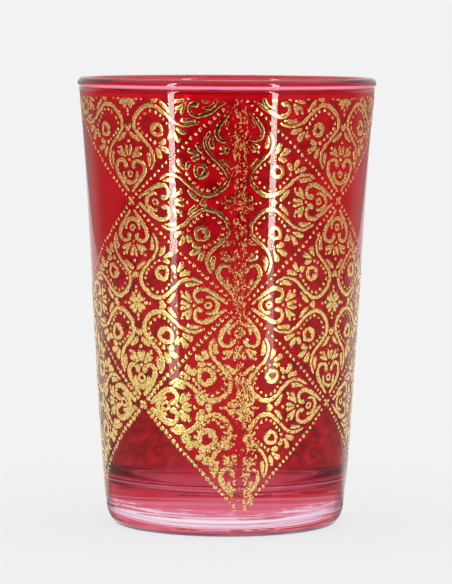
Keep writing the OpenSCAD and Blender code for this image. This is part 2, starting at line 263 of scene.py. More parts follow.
fill(tree, shader, {"Base Color": tint, "Roughness": math_node(tree, "ADD", softness, ground),
                    "Normal": waves.outputs[0], "Transmission Weight": 1.0, "IOR": 1.52})

# %% [markdown]
# ### Ruby lacquer
# The lacquer takes away most green and blue light each time that light goes through it. It is modelled
# as a thin closed skin just under the surface of the glass, which bends no light and only tints it: so
# the highlights on the glass over it stay white, as they do in life. It thins towards the foot. On the
# lip it is painted paler at the front, a painted highlight, and a deep ruby at the back. Its lower edge
# was wiped off by hand: it is ragged, and lilac streaks of it are left on the heel. A dark purple line
# just over the table is a painted contact shadow, and a ragged dark line is drawn just under the lip.

# %% The lacquer material
ruby_lacquer, tree, shader, place = new_material("ruby_lacquer")
streaks = speckles(tree, place, 45.0, 40.0, 5.0, 0.36, 0.64)
drips = speckles(tree, place, 110.0, 1.0, 3.0, 0.3, 0.7)
wobble = math_node(tree, "ADD", between(tree, streaks, -0.0013, 0.0013),
                   between(tree, drips, -0.0006, 0.0006))
covered = bands(tree, place, wobble, 0.0042, 0.0049)
cloud = speckles(tree, place, 130.0, 1.0, 4.0, 0.25, 0.75)
full = blend_colours(tree, cloud, (0.78, 0.055, 0.1, 1), (0.83, 0.075, 0.13, 1))
thin = blend_colours(tree, cloud, (0.76, 0.08, 0.14, 1), (0.8, 0.105, 0.18, 1))
ruby = blend_colours(tree, bands(tree, place, 0.0, 0.006, 0.022), thin, full)
ruby = blend_colours(tree, bands(tree, place, wobble, 0.006, 0.0105), (0.79, 0.2, 0.27, 1), ruby)
# On the lip the front is painted paler, a painted highlight, and the back is a deep ruby.
to_back = rise(tree, split(tree, place)[1], -0.015, 0.01)
lip_ruby_and_painted_highlight = blend_colours(tree, to_back, (0.97, 0.31, 0.47, 1), (0.74, 0.06, 0.1, 1))
ruby = blend_colours(tree, bands(tree, place, 0.0, 0.088, 0.0883), ruby, lip_ruby_and_painted_highlight)
wiped = speckles(tree, place, 26.0, 60.0, 4.0, 0.42, 0.6)
fine_lines = speckles(tree, place, 12.0, 190.0, 2.0, 0.3, 0.36)
residue_and_contact_shadow = blend_colours(tree, wiped, (0.92, 0.62, 0.75, 1), (0.985, 0.95, 0.98, 1))
residue_and_contact_shadow = blend_colours(tree, fine_lines, (0.72, 0.36, 0.54, 1), residue_and_contact_shadow)
# Painted contact shadow: a dark purple line just over the table, with a wobbling edge.
contact_shadow_wobble = between(tree, streaks, -0.0003, 0.0003)
residue_and_contact_shadow = blend_colours(tree, bands(tree, place, contact_shadow_wobble, 0.0005, 0.0009), (0.3, 0.13, 0.34, 1), residue_and_contact_shadow)
# A ragged dark line just under the lip, where the lip's bulge meets the wall.
waver = math_node(tree, "MULTIPLY", drips, 0.0003)
dark_line_under_lip = math_node(tree, "SUBTRACT", bands(tree, place, waver, 0.0879, 0.08795),
                  bands(tree, place, waver, 0.0881, 0.0882), clamp=True)
dark_line_under_lip = math_node(tree, "MULTIPLY", dark_line_under_lip, speckles(tree, place, 260.0, 1.0, 3.0, 0.45, 0.6))
ruby = blend_colours(tree, dark_line_under_lip, ruby, (0.3, 0.01, 0.03, 1))
fill(tree, shader, {"Base Color": blend_colours(tree, covered, residue_and_contact_shadow, ruby), "Transmission Weight": 1.0,
                    "IOR": 1.0, "Roughness": 0.0})

# %% [markdown]
# ### Gold print
# Fired gold paste is metal, with a fine grain from the screen and the paste. The grain is what breaks a
# reflection into bright and dark specks. Small pits go right through. Each piece of gold carries two
# numbers at each of its points: wear, which widens the pits at its edges and beside the seam, and scuff,
# which lets level scratches through low on the left.

# %% The gold material
gold_print, tree, shader, place = new_material("gold_print")
wear = node(tree, "ShaderNodeAttribute", attribute_name="wear").outputs["Fac"]
scuff = node(tree, "ShaderNodeAttribute", attribute_name="scuff").outputs["Fac"]
tone = speckles(tree, place, 900.0, 1.0, 3.0, 0.3, 0.7)
grain = speckles(tree, place, 4200.0, 1.0, 2.0, 0.2, 0.8)
lumps = speckles(tree, place, 1500.0, 1.0, 2.0, 0.2, 0.8)
pits = speckles(tree, place, 2600.0, 1.0, 2.0, between(tree, wear, 0.35, 0.59),
                between(tree, wear, 0.4, 0.64))
scratches = speckles(tree, place, 70.0, 55.0, 2.0, 0.34, 0.38)
spared = math_node(tree, "MAXIMUM", scratches, math_node(tree, "SUBTRACT", 1.0, scuff), clamp=True)
relief = math_node(tree, "ADD", math_node(tree, "MULTIPLY", grain, 0.35), lumps)
bump = node(tree, "ShaderNodeBump", {"Strength": 0.08, "Distance": 0.00008, "Height": relief})
gilt = blend_colours(tree, tone, (0.9, 0.65, 0.21, 1), (0.98, 0.77, 0.29, 1))
gilt = blend_colours(tree, speckles(tree, place, 3000.0, 1.0, 2.0, 0.34, 0.52), (0.5, 0.33, 0.1, 1), gilt)
fill(tree, shader, {"Base Color": gilt, "Metallic": 1.0, "Roughness": between(tree, tone, 0.06, 0.11),
                    "Normal": bump.outputs[0], "Alpha": math_node(tree, "MINIMUM", pits, spared)})

# %% [markdown]
# ### Underside of the gold
# Through the bare windows the print on the far side is seen from behind, through the lacquer. There the
# paste isn't a mirror: it is a dull ochre, with a painted glow: it gives off a little warm light, most in
# the lower middle of the far wall. Seen from above, through a pit in the gold, it isn't there at all.

# %% The underside material
gold_underside, tree, shader, place = new_material("gold_underside")
clouds = speckles(tree, place, 1100.0, 1.0, 3.0, 0.3, 0.7)
ochre = blend_colours(tree, clouds, (0.32, 0.17, 0.09, 1), (0.5, 0.31, 0.17, 1))
bump = node(tree, "ShaderNodeBump", {"Strength": 0.2, "Distance": 0.00005, "Height": clouds})
# Painted glow: a warm emission, most in the lower middle and a little higher up.
low_down = math_node(tree, "SUBTRACT", 1.0, bands(tree, place, 0.0, 0.04, 0.062))
middle = math_node(tree, "MULTIPLY", low_down, bell(tree, split(tree, place)[0], 0.0, 0.012, 0.55))
painted_glow_high = math_node(tree, "MULTIPLY", bands(tree, place, 0.0, 0.014, 0.05), 0.19)
from_above = node(tree, "ShaderNodeNewGeometry").outputs["Backfacing"]
fill(tree, shader, {"Base Color": ochre, "Normal": bump.outputs[0], "Roughness": 0.7,
                    "Emission Color": (1.0, 0.62, 0.4, 1),
                    "Emission Strength": math_node(tree, "ADD", painted_glow_high, middle),
                    "Alpha": math_node(tree, "SUBTRACT", 1.0, from_above)})

# %% [markdown]
# ## The glass body
# A tumbler is a surface of revolution: one closed outline, spun about the axis. The outline starts under
# the middle of the foot, goes out over the hollow and the foot ring, up the heel and the wall, over the
# round lip, down the inside and back to the axis on the bowl's floor.


# %% Spinning an outline
def spin(name, r, z, turns=256):
    """Points r sin, -r cos, z for turns equal steps of the angle. The outline's first and last points lie
    on the axis, where all the turns share one point."""
    a = 2 * np.pi * np.arange(turns)[:, None] / turns
    ring = np.stack([r[1:-1] * np.sin(a), -r[1:-1] * np.cos(a), z[1:-1] + 0 * a], -1) * MM
    cols = len(r) - 2
    low, high = turns * cols, turns * cols + 1
    poles = [[0, 0, z[0] * MM], [0, 0, z[-1] * MM]]
    here = np.arange(turns)
    after = (here + 1) % turns
    fans = [np.stack([low + 0 * here, after * cols, here * cols], -1),
            np.stack([here * cols + cols - 1, after * cols + cols - 1, high + 0 * here], -1)]
    faces = grid_faces(turns, cols, wrap_rows=True).tolist() + fans[0].tolist() + fans[1].tolist()
    return add_object(name, np.concatenate([ring.reshape(-1, 3), poles]), faces)


def quarter(steps, start=0.0, end=90.0):
    """Equal steps of angle in radians, from start to end in degrees."""
    return np.radians(np.linspace(start, end, steps))


def heel(a, depth=0.0):
    """Radius and height on the heel, a quarter ellipse from the foot ring (a = 0) to the wall (a = 90
    degrees), and at a depth under it along the ellipse's normal, (sin a / width, -cos a / height)."""
    z = HEEL_H * (1 - np.cos(a))
    r = wall_r(z) - HEEL_IN * (1 - np.sin(a)) + COAT_T * np.sin(a) ** 8
    across, down = np.sin(a) / HEEL_IN, np.cos(a) / HEEL_H
    size = np.hypot(across, down)
    return r - depth * across / size, z + depth * down / size


# %% The outline of the glass
LIP_Z = GLASS_H - LIP_R
LIP_MID_R = float(wall_r(COAT_TOP_Z)) + LIP_PROUD - LIP_R
LIP_FOOT_Z = LIP_Z - LIP_R * math.sin(math.radians(52)) - 0.06
FOOT_RING_R = float(wall_r(0)) - HEEL_IN


def bowl_r(z):
    """Inner radius: the wall less its thickness, which eases into the straight inside of the lip. The
    ease is a soft minimum, -log(exp(-6a) + exp(-6b)) / 6."""
    a, b = wall_r(z) - WALL_T, LIP_MID_R - LIP_R + 0 * z
    low = np.minimum(a, b)
    return low - np.log(np.exp(-6 * (a - low)) + np.exp(-6 * (b - low))) / 6


a = quarter(14, 90, 0)
hollow_r, hollow_z = (FOOT_RING_R - FOOT_RING_W) * np.cos(a), FOOT_HOLLOW_H * np.sin(a)
heel_r, heel_z = heel(quarter(18))
side_z = np.linspace(HEEL_H + 0.4, LIP_FOOT_Z, 90)
a = quarter(28, -52, 180)
lip_r, lip_z = LIP_MID_R + LIP_R * np.cos(a), LIP_Z + LIP_R * np.sin(a)
inside_z = np.linspace(LIP_Z - 0.5, FLOOR_T + BOWL_ROUND_R, 70)
a = quarter(20)[1:]
round_r = float(bowl_r(np.array(FLOOR_T + BOWL_ROUND_R))) - BOWL_ROUND_R * (1 - np.cos(a))
round_z = FLOOR_T + BOWL_ROUND_R * (1 - np.sin(a))
glass_r = np.concatenate([hollow_r, [FOOT_RING_R - 0.75 * FOOT_RING_W, FOOT_RING_R - 0.2 * FOOT_RING_W],
                          heel_r, wall_r(side_z) + COAT_T, lip_r, bowl_r(inside_z), round_r, [9.0, 0.0]])
glass_z = np.concatenate([hollow_z, [0.0, 0.0], heel_z, side_z, lip_z, inside_z, round_z, [FLOOR_T, FLOOR_T]])
dress(spin("glass_body", glass_r, glass_z), clear_glass, "clear_glass", "glass_tumbler")

# %% [markdown]
# ## The ruby skin
# The skin is a thin closed sleeve: its outside goes up from the lower edge to the upper one, and its
# inside comes down again. It starts low on the heel, where its material shows only wiped streaks of
# lacquer. At the top it goes over the lip and just inside it, and its edge there is a little ragged.


# %% The lacquer's sleeve
def ragged(theta, size, waves, seed):
    """A sum of sine waves round the glass, with whole numbers of waves so that the ends meet."""
    pick = np.random.default_rng(seed)
    counts = pick.integers(waves[0], waves[1], 14)
    phases = pick.uniform(0, 2 * np.pi, 14)
    return size * np.sin(np.radians(theta)[:, None] * counts + phases).sum(1) / 4


def sleeve(depth, turn):
    """Radius and height of the skin at a depth under the surface of the glass: round the heel, up the
    wall, and round the lip to its inside, where the edge is ragged."""
    wide = 0 * turn[:, None]
    heel_r, heel_z = heel(np.radians(np.linspace(12, 90, 16)), depth)
    z = np.linspace(HEEL_H + 0.4, LIP_FOOT_Z, 60) + wide
    end = 150 + ragged(turn, 5.0, (3, 60), 1)
    a = np.radians(-52 + (end[:, None] + 52) * np.linspace(0, 1, 28))
    lip = LIP_R - depth
    r = np.concatenate([heel_r + wide, wall_r(z) + COAT_T - depth, LIP_MID_R + lip * np.cos(a)], 1)
    return r, np.concatenate([heel_z + wide, z, LIP_Z + lip * np.sin(a)], 1)


turn = np.linspace(0, 360, 512, endpoint=False)
outer_r, outer_z = sleeve(0.015, turn)
inner_r, inner_z = sleeve(0.055, turn)
skin_r = np.concatenate([outer_r, inner_r[:, ::-1]], 1)
skin_z = np.concatenate([outer_z, inner_z[:, ::-1]], 1)
around = np.radians(turn)[:, None]
points = np.stack([skin_r * np.sin(around), -skin_r * np.cos(around), skin_z], -1) * MM
faces = grid_faces(len(turn), skin_z.shape[1], wrap_rows=True, wrap_cols=True).tolist()
dress(add_object("ruby_skin", points.reshape(-1, 3), faces), ruby_lacquer, "ruby_lacquer", "ruby_coat")

# %% [markdown]
# ## How the print is laid out
# Four rows of diamond meshes run round the glass, outlined by beads. Each mesh carries the same ornament
# at its four edges and its four corners, so a motif is drawn once, in shares of its mesh, and then laid
# at every edge or corner at once. The top row is cut in half, and two meshes of the second row are bare.
# The far side has two half meshes more at the foot: the photograph shows them, softly, through the bare
# windows near the foot.

# %% The lattice of the print
MESHES_ROUND, ROWS, PRINT_TURN = 4, 4, 6.0
PRINT_TOP_Z, PRINT_FOOT_Z = 86.3, 5.9
HALF_ANGLE = 180 / MESHES_ROUND
ROW_H = (PRINT_TOP_Z - PRINT_FOOT_Z) / ROWS
FOOT_LIFT, TOP_LIFT = 0.05, 0.15


def centred(theta):
    """The angle turned by whole circles until it lies within half a circle of the print's seam."""
    return np.where(theta > PRINT_TURN + 180, theta - 360, theta)


meshes = np.array([[PRINT_TURN + HALF_ANGLE * (2 * i + (row + 1) % 2), PRINT_TOP_Z - ROW_H * row]
                   for row in range(ROWS) for i in range(MESHES_ROUND) if row != 1 or i % 2 == 0])
far_halves = [[PRINT_TURN + HALF_ANGLE * turns, PRINT_FOOT_Z] for turns in (3, 5)]
meshes = np.concatenate([meshes, far_halves])
meshes[:, 0] = centred(meshes[:, 0])
sides = np.array([[-1, 1], [1, 1], [1, -1], [-1, -1]])
corners = np.array([[0, 1], [1, 0], [0, -1], [-1, 0]])


def on_meshes(x, y):
    """Shares of half a mesh, sideways and upwards, turned into angles and heights round each mesh."""
    spread = np.stack([x * HALF_ANGLE, y * ROW_H], -1)
    middles = meshes.reshape((-1,) + (1,) * (spread.ndim - 1) + (2,))
    return (middles + spread).reshape((-1,) + spread.shape[1:])


def at_edges(p):
    """Places of points p = (out, along) on each edge of each mesh: from the middle of the mesh, half of
    out plus along goes sideways, and half of out less along goes up or down."""
    p = np.asarray(p, float)
    x, y = (p[..., 0] + p[..., 1]) / 2, (p[..., 0] - p[..., 1]) / 2
    return on_meshes(np.multiply.outer(sides[:, 0], x), np.multiply.outer(sides[:, 1], y))


def at_corners(p):
    """Places of points p = (across, inward) in each corner of each mesh."""
    p = np.asarray(p, float)
    inner, across = 1 - p[..., 1], p[..., 0]
    x = np.multiply.outer(corners[:, 0], inner) + np.multiply.outer(corners[:, 1], across)
    y = np.multiply.outer(corners[:, 1], inner) - np.multiply.outer(corners[:, 0], across)
    return on_meshes(x, y)


def both(p, axis):
    """The points and their mirror image, as two lists one after the other."""
    mirrored = np.array(p, float)
    mirrored[..., axis] *= -1
    return np.stack([np.array(p, float), mirrored])


print(len(meshes), "meshes carry ornament, each", 2 * HALF_ANGLE, "degrees wide and", 2 * ROW_H, "mm high")

# %% [markdown]
# ## Drawing with gold
# The print has three kinds of mark. A stroke follows a smooth line, and its width swells and thins. A
# ring is a stroke that closes on itself. A dot is a small dome. Each has the low rounded section of a
# printed paste: steep at its sides and nearly flat on top. The marks are worked out in a flat world of
# angle, height and lift, so that they can be cut and bent there before they are wrapped on the wall.

# %% The section of a mark, and smooth lines
SECTION_U = np.array([-1, -0.95, -0.86, -0.7, -0.5, 0.5, 0.7, 0.86, 0.95, 1])
SECTION_H = np.array([0, 0.6, 0.93, 0.985, 1, 1, 0.985, 0.93, 0.6, 0])


def smooth_line(points, count):
    """A curve through the points, as a Catmull-Rom spline: each stretch is a cubic that takes its slope
    from the two neighbours. It is then divided into equal steps along its length."""
    p = np.asarray(points, float)
    p = np.concatenate([[2 * p[0] - p[1]], p, [2 * p[-1] - p[-2]]])
    t = np.linspace(0, len(p) - 3, 12 * len(p))
    i = np.minimum(t.astype(int), len(p) - 4)
    f = (t - i)[:, None]
    a, b, c, d = p[i], p[i + 1], p[i + 2], p[i + 3]
    curve = b + f * (c - a) / 2 + f**2 * (a - 2.5 * b + 2 * c - d / 2)
    curve += f**3 * (1.5 * b - a / 2 - 1.5 * c + d / 2)
    run = np.concatenate([[0], np.cumsum(np.linalg.norm(np.diff(curve[:, :2], axis=0), axis=1))])
    even = np.linspace(0, run[-1], count)
    return np.stack([np.interp(even, run, curve[:, k]) for k in range(curve.shape[1])], -1)


def swell(widths, steps):
    """Widths that are given at a few equal steps, read at more of them."""
    return np.interp(np.linspace(0, 1, steps), np.linspace(0, 1, len(widths)), widths)


def ink_spread(theta, z):
    """How much wider the paste ran than the screen drew it: all over the lower left of the front, and
    most on the left of the seam towards the foot. High up it is drawn a trace finer."""
    low_left = np.exp(-(((theta + 36) / 34) ** 2) - ((z - 24) / 18) ** 2)
    beside_seam = np.exp(-(((theta + 2) / 9) ** 2) - ((z - 18) / 13) ** 2) * (theta < PRINT_TURN)
    return 0.97 + 0.5 * low_left + 0.3 * beside_seam - 0.07 * np.clip((z - 45) / 30, 0, 1)


# %% Strokes, rings and dots
def repeated(points, *kinds):
    """Copies of a mark as one list of points, and as one list of faces: each kind of face that one copy
    has is numbered again for every copy."""
    first = np.arange(len(points))[:, None, None] * (points[0].size // 3)
    faces = [(kind + first).reshape(-1, kind.shape[1]).tolist() for kind in kinds]
    return points.reshape(-1, 3), sum(faces, [])


def strokes(lines, widths):
    """lines is (copies, steps, 2) in angle and height, widths (steps) in mm. Each step carries the section
    across the line: angle and height move by the unit normal times half the width times the section's
    u, and the lift follows the section's height. Both ends are drawn in along a quarter circle."""
    z = lines[..., 1]
    mm_per_degree = degree_mm(z)
    flat = np.stack([lines[..., 0] * mm_per_degree, z], -1)
    step = np.gradient(flat, axis=1)
    step[..., 0] = np.gradient(lines[..., 0], axis=1) * mm_per_degree
    length = np.linalg.norm(step, axis=-1)
    normal = np.stack([-step[..., 1], step[..., 0]], -1) / length[..., None]
    run = np.cumsum(length, axis=1) - length[:, :1]
    reach = widths / 2
    ends = np.minimum(run, run[:, -1:] - run) / np.maximum(reach, 0.05)
    full = np.sqrt(1 - (1 - np.clip(ends, 0.02, 1)) ** 2)
    half = reach * full * ink_spread(lines[..., 0], z)
    off = half[..., None] * SECTION_U
    theta = lines[..., 0, None] + normal[..., 0, None] * off / mm_per_degree[..., None]
    height = z[..., None] + normal[..., 1, None] * off
    lift = FOOT_LIFT + (TOP_LIFT - FOOT_LIFT) * SECTION_H * full[..., None] ** 0.5
    steps, k = theta.shape[1:]
    caps = np.array([np.arange(k)[::-1], (steps - 1) * k + np.arange(k)])
    return repeated(np.stack([theta, height, lift], -1), grid_faces(steps, k, wrap_cols=True), caps)


def rings(places, turns, outer, inner):
    """Rings at the places, each turned by its angle. The section runs from the outer radius to the inner
    one, both given in mm for equal steps all the way round."""
    n, k = len(outer), len(SECTION_U)
    a = 2 * np.pi * np.arange(n) / n
    r = outer[:, None] + (inner - outer)[:, None] * (1 + SECTION_U) / 2
    r = r[None] * ink_spread(places[:, 0], places[:, 1])[:, None, None]
    a = a[None, :, None] + np.radians(turns)[:, None, None]
    z = places[:, 1, None, None] + r * np.sin(a)
    theta = places[:, 0, None, None] + r * np.cos(a) / degree_mm(z)
    lift = FOOT_LIFT + (TOP_LIFT - FOOT_LIFT) * SECTION_H + 0 * theta
    return repeated(np.stack([theta, z, lift], -1), grid_faces(n, k, wrap_rows=True, wrap_cols=True))


def dots(places, size, sides=10):
    """Domes: three circles of radius 1, 0.84 and 0.5 at heights 0, 0.72 and 1, with a flat foot and top.
    The smallest domes are lower."""
    size = np.broadcast_to(np.asarray(size, float), (len(places),))
    a = 2 * np.pi * np.arange(sides) / sides
    r = np.array([1.0, 0.84, 0.5])[:, None] * size[:, None, None] / 2
    r = r * ink_spread(places[:, 0], places[:, 1])[:, None, None]
    z = places[:, 1, None, None] + r * np.sin(a)
    theta = places[:, 0, None, None] + r * np.cos(a) / degree_mm(z)
    share = np.minimum(1, size / 0.45)[:, None, None] * np.array([0, 0.72, 1])[:, None]
    lift = FOOT_LIFT + (TOP_LIFT - FOOT_LIFT) * share + 0 * theta
    caps = np.array([3 * np.arange(sides)[::-1], 3 * np.arange(sides) + 2])
    points = np.stack([theta, z, lift], -1).transpose(0, 2, 1, 3)
    return repeated(points, grid_faces(sides, 3, wrap_rows=True), caps)


def join(marks):
    """One list of points and one list of faces out of several, with the faces numbered again."""
    starts = np.cumsum([0] + [len(points) for points, faces in marks]).tolist()
    faces = [[first + corner for corner in face] for first, mark in zip(starts, marks) for face in mark[1]]
    return np.concatenate([points for points, faces in marks]), faces


# %% [markdown]
# ## The seam of the print and its rough edges
# A screen print that goes round a glass meets itself again at a seam. Here it lies near the front: above,
# the two ends meet, and towards the foot they leave a gap. So the marks are cut along the seam and along
# the straight upper edge, each side is bent its own way, and a small noise roughens every edge.


# %% Cutting, bending and wrapping
MM_PER_DEGREE = 0.47  # halfway up the wall


def roughened(theta, z, sizes, seed):
    """Angle and height, each moved by a sum of plane sine waves over the wall as if it were unrolled. Each
    size is (wavelength, height) in mm."""
    pick = np.random.default_rng(seed)
    flat = np.stack([theta * MM_PER_DEGREE, z], -1)
    total = np.zeros_like(flat)
    for wavelength, height in sizes:
        way = pick.uniform(0, 2 * np.pi, (6, 1))
        way = np.concatenate([np.cos(way), np.sin(way)], 1)
        k = 2 * np.pi / wavelength * pick.uniform(0.7, 1.4, (6, 1)) * way
        total += np.sin(flat @ k.T + pick.uniform(0, 6.3, 6)) @ pick.uniform(-1, 1, (6, 2)) * height * 0.6
    return theta + total[:, 0] / MM_PER_DEGREE, z + total[:, 1]


def seam_shift(z, right):
    """Degrees that each side of the print was moved at the seam, for a few heights and smooth between."""
    heights = [5.6, 12, 20, 28, 36, 46, 56, 66, 86]
    right_way = [2.6, 2.0, 1.9, 1.5, 0.6, 0.6, 0.7, 0.5, 0.5]
    left_way = [-0.8, -0.9, -0.9, -0.8, -0.7, -1.3, -2.0, -2.4, -2.4]
    return np.interp(z, heights, right_way if right else left_way)


def bent(points, right):
    """Low down the shift of the seam fades over the 30 degrees beside it. Higher up the whole side moved,
    and it fades only towards the back. Then the rough edges are added."""
    theta, z = points[:, 0], points[:, 1]
    away = np.abs(theta - PRINT_TURN)
    high = np.clip((z - 25) / 20, 0, 1)
    beside = (1 - high) * np.clip(1 - away / 30, 0, 1) + high * np.clip((165 - away) / 70, 0, 1)
    shift = beside * seam_shift(z, right)
    theta, z = roughened(theta, z, [(9.0, 0.1), (2.2, 0.05), (0.7, 0.045), (0.4, 0.03)], 5)
    return theta + shift, z, points[:, 2]


def cut_away(points, faces, cuts):
    """Cuts a closed mesh by planes, keeps what lies behind each, and closes the cuts with new faces."""
    work = bmesh.new()
    mesh = bpy.data.meshes.new("cutting")
    mesh.from_pydata(points.tolist(), [], faces)
    work.from_mesh(mesh)
    bpy.data.meshes.remove(mesh)
    for spot, way in cuts:
        geom = work.verts[:] + work.edges[:] + work.faces[:]
        bmesh.ops.bisect_plane(work, geom=geom, plane_co=spot, plane_no=way, clear_outer=True, dist=1e-6)
        bmesh.ops.holes_fill(work, edges=[e for e in work.edges if e.is_boundary], sides=0)
    work.verts.index_update()
    kept = np.array([v.co[:] for v in work.verts])
    kept_faces = [[v.index for v in f.verts] for f in work.faces]
    work.free()
    return kept, kept_faces


def print_gold(name, marks, *nodes):
    """Puts the marks of one kind on the glass as one piece: cut, bent and wrapped on the wall."""
    points, faces = join(marks)
    top = ((0, PRINT_TOP_Z, 0), (0, 1, 0))
    foot = ((0, PRINT_FOOT_Z - 0.5, 0), (0, -1, 0))
    halves, placed = [], []
    for right in (False, True):
        seam = ((PRINT_TURN, 0, 0), (-1, 0, 0) if right else (1, 0, 0))
        halves.append(cut_away(points, faces, [top, foot, seam]))
        placed.append(on_wall(*bent(halves[-1][0], right)))
    flat, faces = join(halves)
    gild(name, np.concatenate(placed), faces, flat, nodes)


def gild(name, points, faces, flat, nodes, worn=True):
    """Makes one piece of gold: its flat undersides get the dull material, and each point its wear and
    scuff, which follow from its flat place beside the seam or low on the left."""
    piece = add_object(name, points, faces)
    dress(piece, gold_print, "gold_print", *nodes)
    piece.data.materials.append(gold_underside)
    low = flat[:, 2] < FOOT_LIFT + 0.001
    piece.data.polygons.foreach_set("material_index", np.array([low[face].all() for face in faces], np.int32))
    from_seam, z = flat[:, 0] - PRINT_TURN, flat[:, 1]
    wear = np.exp(-((from_seam / 3.5) ** 2)) * (0.35 + 0.65 * np.clip((z - 40) / 12, 0, 1))
    wear = wear + 0.35 * np.exp(-(((from_seam - 5) / 3) ** 2) - ((z - 18) / 9) ** 2)
    wear = wear + 0.25 * np.exp(-(((from_seam + 7) / 8) ** 2) - ((z - 20) / 13) ** 2)
    share_of_height = (flat[:, 2] - FOOT_LIFT) / (TOP_LIFT - FOOT_LIFT)
    wear = wear * worn + 0.5 * np.clip((1 - share_of_height) / 0.12, 0, 1)
    scuff = np.exp(-(((from_seam + 8) / 9) ** 2) - ((z - 14) / 8) ** 2)
    for label, values in (("wear", np.clip(wear, 0, 1)), ("scuff", np.clip(1.6 * scuff, 0, 1) * worn)):
        attribute = piece.data.attributes.new(label, "FLOAT", "POINT")
        attribute.data.foreach_set("value", values.astype(np.float32))


# %% [markdown]
# ## The trellis
# Rows of beads outline the meshes, and a little flower of four petals marks each crossing.

# %% Beads and crossing flowers
crossings = np.array([[PRINT_TURN + HALF_ANGLE * (2 * i + row % 2), PRINT_TOP_Z - ROW_H * row]
                      for row in range(ROWS + 1) for i in range(MESHES_ROUND)])
crossings[:, 0] = centred(crossings[:, 0])
BEAD_START, BEADS = 0.066, 23
along = np.linspace(BEAD_START, 1 - BEAD_START, BEADS)
edges = np.array([[-HALF_ANGLE, -ROW_H], [HALF_ANGLE, -ROW_H]])
upper = crossings[:-MESHES_ROUND]
beads = (upper[:, None, None] + edges[:, None] * along[:, None]).reshape(-1, 2)
print_gold("beads", [dots(beads, 0.84)], "trellis_beads")


def petals(places, angles, start, end, widths, steps=9):
    """Straight petals that fan out from each place: mm from start to end along each angle."""
    reach = np.linspace(start, end, steps)
    a = np.radians(np.asarray(angles, float))
    dz = np.sin(a)[:, None] * reach
    dx = np.cos(a)[:, None] * reach
    z = places[:, None, None, 1] + dz
    theta = places[:, None, None, 0] + dx / degree_mm(z)
    return strokes(np.stack([theta, z], -1).reshape(-1, steps, 2), swell(widths, steps))


flower = petals(crossings[MESHES_ROUND:], [45, 135, 225, 315], 0.08, 1.02, [0.3, 0.55, 0.62, 0.45])
print_gold("crossing_petals", [flower], "crossing_flowers")

# %% [markdown]
# ### Flecks in the seam
# Where the two ends of the print meet, the screen lifted and the paste tore: the gap is full of small
# upright flecks above, and of torn strokes beside the gap near the foot. They are laid by a seeded draw,
# and neither cut nor shifted.

# %% Flecks
def flecks(draw, count, across, heights, longest):
    """Short strokes at random places. Each has four steps along a nearly upright line, up to longest mm
    long, and its own width."""
    theta, z = draw.uniform(*across, count), draw.uniform(*heights, count)
    reach = longest * draw.uniform(0.25, 1, count) ** 2 / 2
    lean = draw.normal(0, 0.5, count)
    along = np.linspace(-1, 1, 4)
    dz = (reach * np.cos(lean))[:, None] * along
    dx = (reach * np.sin(lean))[:, None] * along
    z = np.minimum(z[:, None] + dz, PRINT_TOP_Z)
    lines = np.stack([theta[:, None] + dx / (np.radians(1) * wall_r(z)), z], -1)
    return strokes(lines, draw.uniform(0.18, 0.36, (count, 1)) + 0 * dz)


draw = np.random.default_rng(12)
flat, faces = join([
    flecks(draw, 460, (2.9, 8.0), (46, PRINT_TOP_Z), 0.9), flecks(draw, 150, (4.4, 7.6), (27, 46), 0.9),
    flecks(draw, 90, (5.4, 9.5), (23.5, 30), 1.3), flecks(draw, 90, (7.8, 12.5), (7, 31), 2.2),
    flecks(draw, 26, (5.2, 8.2), (6, 27), 0.6)])
theta, z = roughened(flat[:, 0], flat[:, 1], [(0.7, 0.06), (0.35, 0.05)], 8)
gild("seam_flecks", on_wall(theta, z, flat[:, 2]), faces, flat, ["trellis_beads"], worn=False)

# %% [markdown]
# ## Ornament at the edges of a mesh
# A broad scroll wraps round a rosebud, with dots on its inner side and leaves beyond its open end.

# %% Scrolls and the dots inside them
half = [[0.25, 0, 0.95], [0.27, 0.12, 0.93], [0.35, 0.21, 0.86], [0.47, 0.237, 0.8], [0.58, 0.243, 0.74],
        [0.69, 0.245, 0.7], [0.804, 0.285, 0.66], [0.874, 0.357, 0.62], [0.913, 0.469, 0.55]]
scroll = smooth_line([[out, -side, width] for out, side, width in half[:0:-1]] + half, 90)
print_gold("scrolls", [strokes(at_edges(scroll[:, :2]), scroll[:, 2])], "scroll_bands")

ring_places = [[0.335, 0.045], [0.357, 0.126], [0.423, 0.168], [0.494, 0.18], [0.56, 0.172], [0.63, 0.165]]
small = at_edges(both(ring_places, 1)).reshape(-1, 2)
root = at_edges(both([[0.702, 0.15]], 1)).reshape(-1, 2)
print_gold("inner_dots", [dots(small, 0.78), dots(root, 0.9)], "ring_dots")

# %% Rosebuds, calyx and spray leaves
bud_centre = at_edges([0.6, 0.0])
towards = bud_centre - np.repeat(meshes, 4, 0)
heading = np.degrees(np.arctan2(towards[:, 1], towards[:, 0] * np.radians(1) * wall_r(bud_centre[:, 1])))
a = np.linspace(-np.pi, np.pi, 40, endpoint=False) + np.pi
from_point = np.minimum(a, 2 * np.pi - a)
bud_outer = 1.6 + 0.25 * np.exp(-((from_point / 0.32) ** 2))
bud_inner = 0.8 + 0.15 * np.exp(-((from_point / 0.4) ** 2))
bud_inner -= 0.6 * np.exp(-(((np.pi - from_point) / 0.75) ** 2))
print_gold("rosebud_rings", [rings(bud_centre, heading, bud_outer, bud_inner)], "rosebuds")


def leaves(placed, table, widths, steps=13):
    """Short strokes from tail to tip through a few points, with the widths of a leaf along them."""
    lines = [smooth_line(line, steps) for line in table]
    return [strokes(placed(line), swell(widths, steps)) for line in lines]


